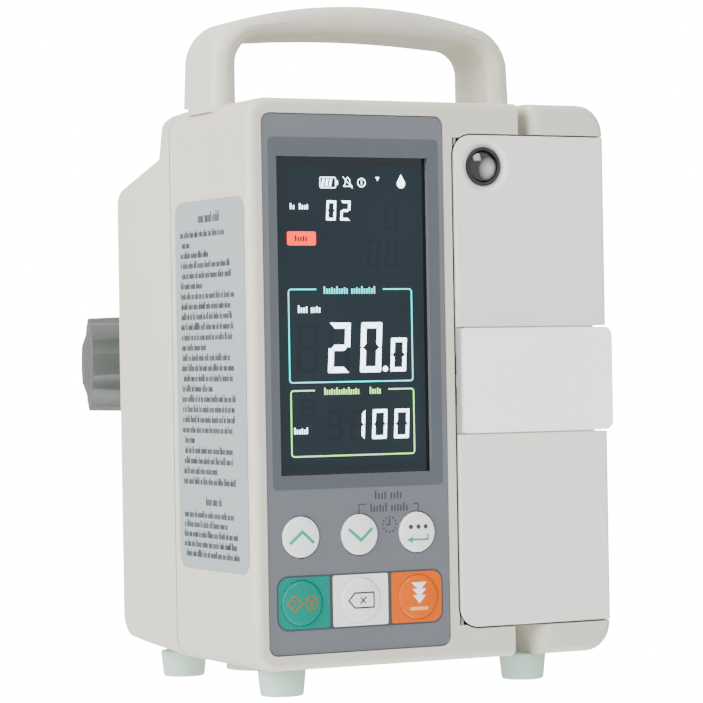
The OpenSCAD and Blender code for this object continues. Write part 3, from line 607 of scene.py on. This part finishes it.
def dark_gaps():
    """Painted shade: dark strips in the seam of the case and in the gap round the door."""
    below, width, thick = 0.1, 0.6, 0.3
    ring = between(inset(CASE_OUTLINE, below), inset(CASE_OUTLINE, below + width))
    # Painted shade in the groove where the front and rear shells meet.
    decal("seam_painted_shade", ring, lambda u, v: SEAM, SHADOW_GAP, "case", lift=thick, sunk=thick)
    (x0, x1), (front, _), (z0, z1) = span("door_shell")
    end, off, width, back, deep = x1 - 3, -0.1, 0.3, 0.28, 5.2
    path = [(end, z1 + off)] + arc((x0 + DOOR_CORNER, z1 - DOOR_CORNER), DOOR_CORNER + off, 90, 180)
    path += arc((x0 + DOOR_CORNER, z0 + DOOR_CORNER), DOOR_CORNER + off, 180, 270) + [(end, z0 - off)]
    # Painted shade on the wall of the door's pocket, seen through the gap round the door.
    decal("door_gap_painted_shade", stroke(path, width), lambda u, v: front + back, SHADOW_GAP, "door", lift=0, sunk=deep)


def cross_headed_screws():
    """The screws, each head with a cross cut into it."""
    screws = cad_copy("case_screws", "cross_headed_screws")
    heads_back = [(x, 73.8, z) for x in (9, CASE_X[1] - 9) for z in (24, 148)]
    heads_back += [(x, HANDLE_SEAM + 4.4, CASE_TOP + 6) for x in (5, HANDLE_W - 5)]
    heads_below = [(14.3, 12.3), (103, 12.3), (14.3, 86.5), (100.2, 86.5)]
    for across, up in ((0.4, 1.7), (1.7, 0.4)):
        for x, y, z in heads_back:
            outline = rounded(x - across, x + across, z - up, z + up, 0.1)
            combine(screws, prism("cut", outline, y - 1, y + 1), "DIFFERENCE")
        for x, y in heads_below:
            outline = rounded(x - across, x + across, y - up, y + up, 0.1)
            combine(screws, prism("cut", outline, 1, 3.2, axis="z"), "DIFFERENCE")
    refined("case_screws", screws, 0.15)


def printed_label():
    """The label on the left side, with rows of ticks where the print is."""
    (x0, x1), (y0, y1), (z0, z1) = span("side_label")
    x0 += PRINT_ROOM
    limit = prism("limit", rounded(y0 - 1, y1 + 1, z0 - 1, z1 + 1, 1), x0, x1 + 0.1, axis="x")
    refined("side_label", combine(cad_copy("side_label", "label"), limit, "INTERSECT"), 0.08)
    draw = random.Random(11)

    def row(z, start, end, height, pitch):
        """Words as runs of fine upright ticks of uneven height, which spell nothing."""
        shapes, y = [], start
        while y < end - 2 * pitch:
            for _ in range(draw.randint(3, 9)):
                tall = height * draw.choice((0.66, 0.66, 0.66, 1.0))
                thick = pitch * draw.uniform(0.6, 0.88)
                shapes.append([(y, z), (y + thick, z), (y + thick, z + tall), (y, z + tall)])
                y += pitch
                if y > end - pitch:
                    break
            y += pitch * 0.9
        return shapes

    # The print reads from the back of the case towards the front, so rows share their high y
    middle = (y0 + y1) / 2
    longest = y1 - y0 - 4.6
    small = (2.3, 0.56)
    title_z, lines_z, line_step = z1 - 7.0, z1 - 11.4, 3.24
    second_title_z, last_lines_z, last_line_step = z1 - 95.6, z1 - 99.6, 3.1
    shapes = row(title_z, middle - 8.0, middle + 8.0, 3.3, 0.85)
    lines = [0.72, 0.16, 0.46, 0.8, 0.82, 0.36, 0.86, 0.8, 0.82, 0.84, 0.82, 0.4, 0.78, 0.84, 0.82, 0.5,
             0.86, 0.84, 0.84, 0.8, 0.2, 0.8, 0.8, 0.55, 0.84]
    high_y = y1 - 3.6
    for i, share in enumerate(lines):
        shapes += row(lines_z - line_step * i, high_y - share * longest, high_y, *small)
    shapes += row(second_title_z, middle - 6.5, middle + 5.5, 2.9, 0.75)
    for i, share in enumerate((0.8, 0.7, 0.86, 0.84, 0.88)):
        shapes += row(last_lines_z - last_line_step * i, high_y - share * longest, high_y, *small)
    decal("label_print", shapes, lambda u, v: x0, INK_DARK, "case", "x")


# ---- Control panel ----

PANEL_FRONT = span("bezel_panel")[1][0]
LCD_X, LCD_Z = (9.5, 62.0), (68.1, 165.9)
KEY_X = [15.75 + 20.15 * i for i in range(3)]
KEY_Z = {"upper": 49.3, "lower": 29.1}
KEY_R = {"upper": 6.3, "lower": 6.9}
KEY_FRONT = span("key_up")[1][0] + PRINT_ROOM
KEY_RIM = 0.85
KEY_CROWN = 0.5
PADS_Z = (21.25, 37.05)
FRAME_X, FRAME_Z, FRAME_CORNER = (7.3, 64.9), (20.7, 37.6), 3.8


def on_panel(u, v):
    """Where the front of the panel lies."""
    return PANEL_FRONT


def control_panel():
    """The panel, its dark print and the coloured pads round the lower keys."""
    refined("bezel_panel", cad_copy("bezel_panel", "panel"), 0.12)
    border = rounded(6.6, 65.7, 63.8, 171.7, 1.6)
    opening = rounded(LCD_X[0], LCD_X[1], LCD_Z[0], LCD_Z[1], 0.3)
    decal("display_border", between(border, opening), on_panel, INK_BORDER, "case")
    # Dark frame round the three lower keys, with a coloured pad for each one
    r = KEY_R["lower"] + 0.09
    pads = [("teal_pad", 7.8, 25.3, [3.4, 0.7, 0.7, 3.4], "key_teal"),
            ("white_pad", 26.4, 45.5, 0.7, "key_white"),
            ("orange_pad", 46.7, 64.4, [0.7, 3.4, 3.4, 0.7], "key_orange")]
    shapes = []
    for (name, x0, x1, corners, slot), x in zip(pads, KEY_X):
        pad = rounded(x0, x1, *PADS_Z, corners)
        hole = circle((x, KEY_Z["lower"]), r)
        decal(name, between(pad, hole), on_panel, FINISH[slot], "case", lift=0.1)
        first, last = name == "teal_pad", name == "orange_pad"
        left, right = FRAME_CORNER if first else 0, FRAME_CORNER if last else 0
        x_left = FRAME_X[0] if first else x0 - 0.6
        x_right = FRAME_X[1] if last else x1 + 0.5
        cell = rounded(x_left, x_right, *FRAME_Z, [left, right, right, left])
        shapes += between(cell, pad)
    decal("key_frame", shapes, on_panel, INK_FRAME, "case", lift=0.05)


def panel_print():
    """A bracket under two captions, drawn as ticks, and a dotted clock."""
    shapes = ticks(41.5, 51.4, 60.0, 2.6, 2, 1.0) + ticks(39.9, 53.4, 56.1, 2.6, 2, 1.0)
    shapes += stroke([(35.9, 55.4), (35.9, 58.6), (38.4, 58.6)], 0.35)
    shapes += stroke([(54.9, 58.2), (56.65, 58.2), (56.65, 55.1)], 0.35)
    for x, z in circle((46.5, 52.0), 2.35, 12):
        shapes.append(circle((x, z), 0.33, 10))
    shapes += stroke([(46.5, 53.8), (46.5, 52.0), (45.2, 52.0)], 0.5)
    decal("panel_print", shapes, on_panel, INK_PANEL, "case")


# ---- Display ----

SEGMENTS = {0: "abcdef", 1: "bc", 2: "abged", 8: "abcdefg"}
FRAME_ROUND = 0.9


def digit(value, x0, x1, z0, z1, thick, lean=0.05):
    """The segments of a seven-segment digit, slightly leaning."""
    mid, gap = (z0 + z1) / 2, thick * 0.08
    t, half = thick, thick / 2
    left, right, low, high = x0 + t, x1 - t, z0 + t + gap, z1 - t - gap
    above, below = mid + half + gap, mid - half - gap
    shapes = {
        "a": [(x0 + gap, z1), (left + gap, z1 - t), (right - gap, z1 - t), (x1 - gap, z1)],
        "d": [(x0 + gap, z0), (x1 - gap, z0), (right - gap, z0 + t), (left + gap, z0 + t)],
        "f": [(x0, z1 - gap), (x0, mid + gap), (x0 + half, mid + gap), (left, above), (left, high)],
        "e": [(x0, z0 + gap), (left, low), (left, below), (x0 + half, mid - gap), (x0, mid - gap)],
        "b": [(x1, z1 - gap), (right, high), (right, above), (x1 - half, mid + gap), (x1, mid + gap)],
        "c": [(x1, z0 + gap), (x1, mid - gap), (x1 - half, mid - gap), (right, below), (right, low)],
        "g": [(x0 + half + gap, mid), (left + gap, mid - half), (right - gap, mid - half),
              (x1 - half - gap, mid), (right - gap, mid + half), (left + gap, mid + half)],
    }
    lit = [shapes[k] for k in SEGMENTS[value]]
    dark = [shape for k, shape in shapes.items() if k not in SEGMENTS[value]]

    def slanted(group):
        return [[(u + lean * (v - z0), v) for u, v in shape] for shape in group]

    return slanted(lit), slanted(dark)


def open_frame(x0, x1, z0, z1, gap0, gap1, width):
    """A thin frame with round corners and a gap in its top side for a caption."""
    r = FRAME_ROUND
    path = [(gap0, z1)] + arc((x0 + r, z1 - r), r, 90, 180, 4) + arc((x0 + r, z0 + r), r, 180, 270, 4)
    path += arc((x1 - r, z0 + r), r, 270, 360, 4) + arc((x1 - r, z1 - r), r, 0, 90, 4) + [(gap1, z1)]
    return stroke(path, width)


def display_graphics():
    """Lit digits, frames and symbols on the display. Captions are ticks."""
    glass_front = span("display_window")[1][0]

    def on_glass(u, v):
        return glass_front

    def show(name, shapes, finish, lift=0.03):
        decal(name, shapes, on_glass, finish, "case", lift=lift)

    lit, dark = [], []
    numbers = [(0, 27.2, 30.5, 146.3, 152.5, 0.8), (2, 32.1, 35.5, 146.3, 152.5, 0.8),
               (2, 27.0, 34.4, 99.3, 114.8, 1.85), (0, 38.1, 45.4, 99.3, 114.8, 1.85),
               (0, 48.7, 54.2, 99.4, 109.9, 1.35), (0, 41.9, 47.0, 78.6, 87.8, 1.1),
               (0, 49.6, 54.8, 78.6, 87.8, 1.1), (1, 34.1, 39.3, 78.6, 87.8, 1.1)]
    for number in numbers:
        on, off = digit(*number)
        lit += on
        dark += off
    for x0, x1, z0, z1, thick in ((16.2, 23.6, 99.3, 114.8, 1.85), (26.3, 31.5, 78.6, 87.8, 1.1),
                                  (17.2, 22.5, 86.0, 91.4, 0.8), (41.0, 45.6, 132.0, 140.6, 1.0),
                                  (47.4, 52.0, 132.0, 140.6, 1.0), (47.4, 52.0, 143.4, 150.6, 1.0)):
        dark += digit(8, x0, x1, z0, z1, thick)[0]
    lit.append(rounded(46.1, 47.9, 99.4, 101.2, 0.85, 4))
    show("lit_digits", lit, LIT_WHITE)
    show("unlit_digits", dark, UNLIT, 0.01)
    # Battery, alarm bell with a stroke through it, ring, pointer and drop along the top
    marks = stroke(rounded(24.8, 30.2, 156.4, 159.6, 0.4, 2), 0.3, True)
    marks += [rounded(30.4, 31.0, 157.3, 158.7, 0.1, 2)]
    marks += [[(x, 156.8), (x + 0.8, 156.8), (x + 1.3, 159.2), (x + 0.5, 159.2)] for x in (25.2, 26.5, 27.8)]
    bell = [(32.9, 157.0), (33.5, 157.5), (33.7, 158.9), (34.4, 159.7), (35.1, 158.9), (35.3, 157.5),
            (35.9, 157.0)]
    marks += stroke(bell, 0.25)
    marks += stroke([(32.9, 156.9), (35.9, 156.9)], 0.25)
    marks += stroke([(32.7, 159.9), (36.1, 156.3)], 0.2)
    marks += stroke(circle((39.2, 158.1), 1.3, 18), 0.3, True)
    marks += stroke([(39.2, 157.5), (39.2, 158.8)], 0.35)
    marks += [[(44.1, 159.9), (44.8, 158.7), (45.5, 159.9)]]
    marks += [arc((53.05, 157.9), 1.45, 150, 390, 14) + [(53.05, 160.9)]]
    marks += ticks(14.4, 16.4, 149.7, 1.8, 1) + ticks(17.5, 20.9, 149.7, 1.8, 1)
    marks += ticks(16.6, 24.6, 117.9, 2.3, 2) + ticks(14.6, 19.6, 80.7, 2.0, 1)
    show("lit_marks", moved(marks, 0.5, 0), LIT_WHITE)
    cyan = open_frame(13.9, 56.6, 96.5, 125.1, 23.4, 46.6, 0.42) + ticks(26.0, 44.2, 123.7, 2.3, 2)
    show("rate_frame", cyan, LIT_CYAN)
    green = open_frame(14.2, 56.8, 73.8, 94.0, 22.4, 47.9, 0.42) + ticks(25.6, 38.0, 92.6, 2.2, 1)
    green += ticks(41.4, 45.6, 92.6, 2.2, 1)
    show("volume_frame", green, LIT_GREEN)
    show("alarm_box", [rounded(13.7, 23.6, 138.6, 142.9, 0.6, 4)], LIT_CORAL)
    show("alarm_caption", ticks(16.4, 20.9, 139.9, 1.8, 1), UNLIT, 0.06)
    # A dark band round the edge of the glass, wider at the top
    edge = rounded(LCD_X[0] - 2, LCD_X[1] + 2, LCD_Z[0] - 2, LCD_Z[1] + 2, 0.4)
    seen = rounded(LCD_X[0] + 1.1, LCD_X[1] - 1.0, LCD_Z[0] + 1.0, LCD_Z[1] - 1.4, 0.4)
    show("glass_border", between(edge, seen), LENS_SHINE, 0.02)


# ---- Keys ----


def key_face(r, distance):
    """How far back the face of a key lies at a distance from its middle: a low crown with a round rim."""
    flat = r - KEY_RIM
    crown = KEY_CROWN * min(distance / flat, 1) ** 2
    if distance <= flat:
        return KEY_FRONT + crown
    out = min((distance - flat) / KEY_RIM, 1)
    return KEY_FRONT + crown + KEY_RIM * (1 - math.sqrt(max(1 - out * out, 0)))


def key(node, column, row):
    """A turned key: crown, rim, flange behind the panel and stem."""
    r, x, z = KEY_R[row], KEY_X[column], KEY_Z[row]
    back = span(node)[1][1]
    rim = [r - KEY_RIM + KEY_RIM * math.sin(math.radians(a)) for a in range(0, 91, 15)]
    flange, flange_front, flange_back, stem = r + 1, 2.6, 3.6, 2.5
    profile = [(d, key_face(r, d)) for d in [0.3, r * 0.3, r * 0.6, r * 0.8] + rim]
    profile += [(r, flange_front), (flange, flange_front), (flange, flange_back)]
    profile += [(stem, flange_back), (stem, back)]
    turned = lathe(node.replace("key_", "") + "_key_cap", profile, (x, z))
    turned.data.shade_smooth()
    turned.data.set_sharp_from_angle(angle=math.radians(40))
    return dress(turned, FINISH[SLOT_OF[node]], BODY_OF[node], [node])


def key_print(name, node, column, row, shapes, finish):
    """Print on the face of a key, which follows its crown. Shapes are drawn about the key's middle."""
    r, x, z = KEY_R[row], KEY_X[column], KEY_Z[row]

    def face(u, v):
        return key_face(r, math.hypot(u - x, v - z))

    decal(name, moved(shapes, x, z), face, finish, BODY_OF[node], grid=0.6)


def keys():
    """The six keys and their marks."""
    rows = {"upper": ("key_up", "key_down", "key_set"), "lower": ("key_start_stop", "key_clear", "key_purge")}
    for row, nodes in rows.items():
        for column, node in enumerate(nodes):
            key(node, column, row)
    chevron = [(-4.1, -1.9), (0, 1.7), (4.1, -1.9)]
    key_print("up_mark", "key_up", 0, "upper", stroke(chevron, 0.95), INK_ICON)
    key_print("down_mark", "key_down", 1, "upper", stroke([(u, -v) for u, v in chevron], 0.95), INK_ICON)
    arrow = stroke([(3.4, -0.7), (3.4, -2.3), (-2.2, -2.3)], 0.6)
    arrow.append([(-4.0, -2.3), (-1.9, -3.4), (-1.9, -1.2)])
    key_print("set_arrow", "key_set", 2, "upper", arrow, INK_ICON)
    dots = [circle((u, 1.7), 0.75, 14) for u in (-2.6, 0, 2.6)]
    key_print("set_mark", "key_set", 2, "upper", dots, INK_PANEL)
    start = stroke([(-5.3, 0), (-2.85, -2.45), (-0.4, 0), (-2.85, 2.45)], 0.5, True)
    start += stroke([(-2.85, -1.1), (-2.85, 1.1)], 0.55)
    stop = stroke(circle((2.85, 0), 2.1, 24), 0.5, True)
    stop += stroke([(1.75, 0.8), (3.95, 0.8), (2.85, -1.1)], 0.4, True)
    key_print("start_stop_mark", "key_start_stop", 0, "lower", start + stop, INK_RUST)
    clear = stroke([(-3.9, 0), (-2.1, 2.0), (3.7, 2.0), (3.7, -2.0), (-2.1, -2.0)], 0.42, True)
    clear += stroke([(-0.5, -0.9), (1.3, 0.9)], 0.42)
    key_print("clear_mark", "key_clear", 1, "lower", moved(clear, 0, 0, 1.15), INK_PANEL)
    key_print("clear_cross", "key_clear", 1, "lower", stroke([(-0.5, 0.9), (1.3, -0.9)], 0.42), INK_PANEL)
    for i in range(3):
        top, wide = 4.6 - 2.0 * i, 2.7 - 0.25 * i
        arrow = [(-wide, top), (0, top - 2.6), (wide, top)]
        key_print("purge_arrow_%d" % (i + 1), "key_purge", 2, "lower", [arrow], INK_WHITE)
    bar = [rounded(-3.2, 3.2, -4.1, -3.0, 0.4, 3)]
    key_print("purge_mark", "key_purge", 2, "lower", bar, INK_PALE)


# ---- Door ----


def door():
    """The door and what rides on it or on its lever."""
    x, y, z = span("door_shell")
    outline = rounded(x[0], x[1], z[0], z[1], [DOOR_CORNER, 1.2, 1.2, DOOR_CORNER])
    limit = prism("limit", outline, y[0], y[1], 1.0, 0.3, grow=OVER)
    refined("door_shell", combine(cad_copy("door_shell", "door_cover"), limit, "INTERSECT"), 0.2)
    refined("latch_lever", cad_copy("latch_lever", "pull_lever"), 0.5, segments=3)
    refined("door_liner", cad_copy("door_liner", "liner"), 0.25)
    refined("platen", cad_copy("platen", "platen_plate"), 0.3)
    refined("latch_slide", cad_copy("latch_slide", "latch_bar"), 0.2)


def status_lamp():
    """The lamp at the top of the door: a ring round a domed lens."""
    refined("lamp_ring", cad_copy("lamp_ring", "lamp_bezel"), 0.35, segments=3)
    (x0, x1), (front, back), (z0, z1) = span("lamp_lens")
    centre, r, ball = ((x0 + x1) / 2, (z0 + z1) / 2), (x1 - x0) / 2, 9.5
    turns = [math.asin(min(r * share / ball, 1)) for share in (0.06, 0.2, 0.4, 0.6, 0.75, 0.88, 0.96, 1)]
    profile = [(ball * math.sin(t), front + ball * (1 - math.cos(t))) for t in turns]
    profile.append((r, back))
    lens = lathe("lamp_dome", profile, centre)
    lens.data.shade_smooth()
    lens.data.set_sharp_from_angle(angle=math.radians(50))
    dress(lens, FINISH["lamp_lens"], "door", ["lamp_lens"])


# ---- Back and clamp ----


def back_fittings():
    """The battery cover, the switch and the mains inlet, with metal over its blades."""
    refined("battery_cover", cad_copy("battery_cover", "battery_door"), 0.3)
    refined("mains_inlet", cad_copy("mains_inlet", "inlet_socket"), 0.3)
    refined("power_switch", cad_copy("power_switch", "rocker"), 0.35, segments=3)
    half_wide, half_high, corner = 1.05, 2.05, 0.4
    root, tip = 92, CASE_BACK - 0.95
    for i, (x, z) in enumerate(((94, 37), (101, 42), (108, 37))):
        outline = rounded(x - half_wide, x + half_wide, z - half_high, z + half_high, corner, 3)
        blade = prism("inlet_blade_%d" % (i + 1), outline, root, tip, far=corner)
        soften(blade, 0)
        dress(blade, FINISH["steel"], "case")


def pole_clamp():
    """The clamp on the back."""
    refined("clamp_bracket", cad_copy("clamp_bracket", "clamp_arm"), 0.7, segments=3)
    refined("clamp_knob", cad_copy("clamp_knob", "knob"), 0.9, segments=3)
    refined("clamp_pad", cad_copy("clamp_pad", "clamp_shoe_pad"), 0.6)
    refined("clamp_screw", cad_copy("clamp_screw", "clamp_rod"), 0.4)


def feet_and_mechanism():
    """The feet, and the pump fingers and sensors behind the door."""
    for side in ("front_left", "front_right", "rear_left", "rear_right"):
        refined("foot_" + side, cad_copy("foot_" + side, side + "_foot"), 0.8, segments=3)
    refined("pump_base", cad_copy("pump_base", "tube_plate"), 0.3)
    refined("bubble_sensor", cad_copy("bubble_sensor", "air_sensor"), 0.3)
    refined("pressure_sensor", cad_copy("pressure_sensor", "pressure_pin"), 0.4)
    refined("striker", cad_copy("striker", "striker_loop"), 0.25)
    for i in range(1, 7):
        refined("finger_%d" % i, cad_copy("finger_%d" % i, "pump_finger_%d" % i), 0.4, segments=3)


# ---- Studio ----


def studio():
    """A pale floor that rises into a round backdrop, and soft lights."""
    hub, flat, bend, wall_top, roof_bend, roof, sides = 0.001, 1.8, 1.0, 3.2, 1.2, 4.4, 96
    wall = flat + bend
    profile = [(hub, 0.0), (flat, 0.0)] + arc((flat, bend), bend, -90, 0, 10)
    profile += [(wall, wall_top)] + arc((wall - roof_bend, wall_top), roof_bend, 0, 90, 6) + [(hub, roof)]
    turns = [2 * math.pi * i / sides for i in range(sides)]
    points = [(r * math.cos(turn), r * math.sin(turn), z) for r, z in profile for turn in turns]
    faces = []
    for low in range(0, len(points) - sides, sides):
        for i in range(sides):
            j = (i + 1) % sides
            faces.append((low + i, low + j, low + sides + j, low + sides + i))
    mesh = bpy.data.meshes.new("studio_floor")
    mesh.from_pydata(points, [], faces)
    mesh.shade_smooth()
    floor = bpy.data.objects.new("studio_floor", mesh)
    bpy.context.scene.collection.objects.link(floor)
    # Its glow makes it read white; it casts and spreads no light on the pump
    pale = Finish("studio_white", Roughness=0.9, Emission_Strength=18.0)
    shade = pale.mix(pale.spread(pale.noise(400, 2), 0, 1), tone("f4f4f4"), tone("f8f8f8"))
    pale.colour(shade)
    pale.link(shade, pale.shader.inputs["Emission Color"])
    mesh.materials.append(pale.made)
    floor.visible_diffuse = False
    floor.visible_glossy = False
    floor.visible_transmission = False
    floor.visible_shadow = False
    world = bpy.data.worlds.new("studio")
    bpy.context.scene.world = world
    world.use_nodes = True
    world.node_tree.nodes["Background"].inputs["Color"].default_value = (0.97, 0.985, 1.0, 1)
    world.node_tree.nodes["Background"].inputs["Strength"].default_value = 1.05
    # Each lamp's name, place in metres, size in metres, power in watts and colour
    lamps = [("key_light", (-1.5, -0.2, 0.8), 1.1, 62, (1.0, 0.985, 0.95)),
             ("front_light", (0.1, -1.6, 1.35), 0.9, 24, (0.97, 0.985, 1.0)),
             ("top_light", (0.1, 0.2, 1.8), 1.2, 9, (1.0, 1.0, 1.0)),
             ("back_light", (0.7, 1.5, 0.8), 1.0, 8, (1.0, 0.99, 0.97)),
             ("floor_light", (-0.2, -0.3, -1.3), 1.2, 40, (1.0, 1.0, 0.99))]
    for lamp in lamps:
        softbox(*lamp)


PUMP_MIDDLE = Vector((0, 0, 0.1))


def softbox(name, place, size, power, colour):
    """A square lamp aimed at the middle of the pump, which the camera doesn't see."""
    lamp = bpy.data.lights.new(name, "AREA")
    lamp.size = size
    lamp.energy = power
    lamp.color = colour
    obj = bpy.data.objects.new(name, lamp)
    obj.location = place
    aim = PUMP_MIDDLE - Vector(place)
    obj.rotation_euler = aim.to_track_quat("-Z", "Y").to_euler()
    obj.visible_camera = False
    bpy.context.scene.collection.objects.link(obj)


def camera():
    """The camera of the photograph: low, level, and turned towards the left side of the pump."""
    turn, tilt, roll = math.radians(27.13), -0.003, 0.0168
    forward = Vector((math.sin(turn) * math.cos(tilt), math.cos(turn) * math.cos(tilt), -math.sin(tilt)))
    level = Vector((math.cos(turn), -math.sin(turn), 0))
    down = forward.cross(level)
    right = math.cos(roll) * level + math.sin(roll) * down
    down = math.cos(roll) * down - math.sin(roll) * level
    lens = bpy.data.cameras.new("camera")
    lens.lens = 156.2
    lens.sensor_width = 36
    obj = bpy.data.objects.new("camera", lens)
    obj.matrix_world = Matrix((right, -down, -forward)).transposed().to_4x4()
    obj.location = (-0.4586, -0.9160, 0.1030)
    bpy.context.scene.collection.objects.link(obj)
    bpy.context.scene.camera = obj


front_shell()
handle_rear_half()
rear_shell()
dark_gaps()
cross_headed_screws()
printed_label()
control_panel()
panel_print()
display_graphics()
keys()
door()
status_lamp()
back_fittings()
pole_clamp()
feet_and_mechanism()
for name, obj in NODES.items():
    obj.data.materials.clear()
    obj.data.materials.append(FINISH[SLOT_OF[name]])
studio()
camera()
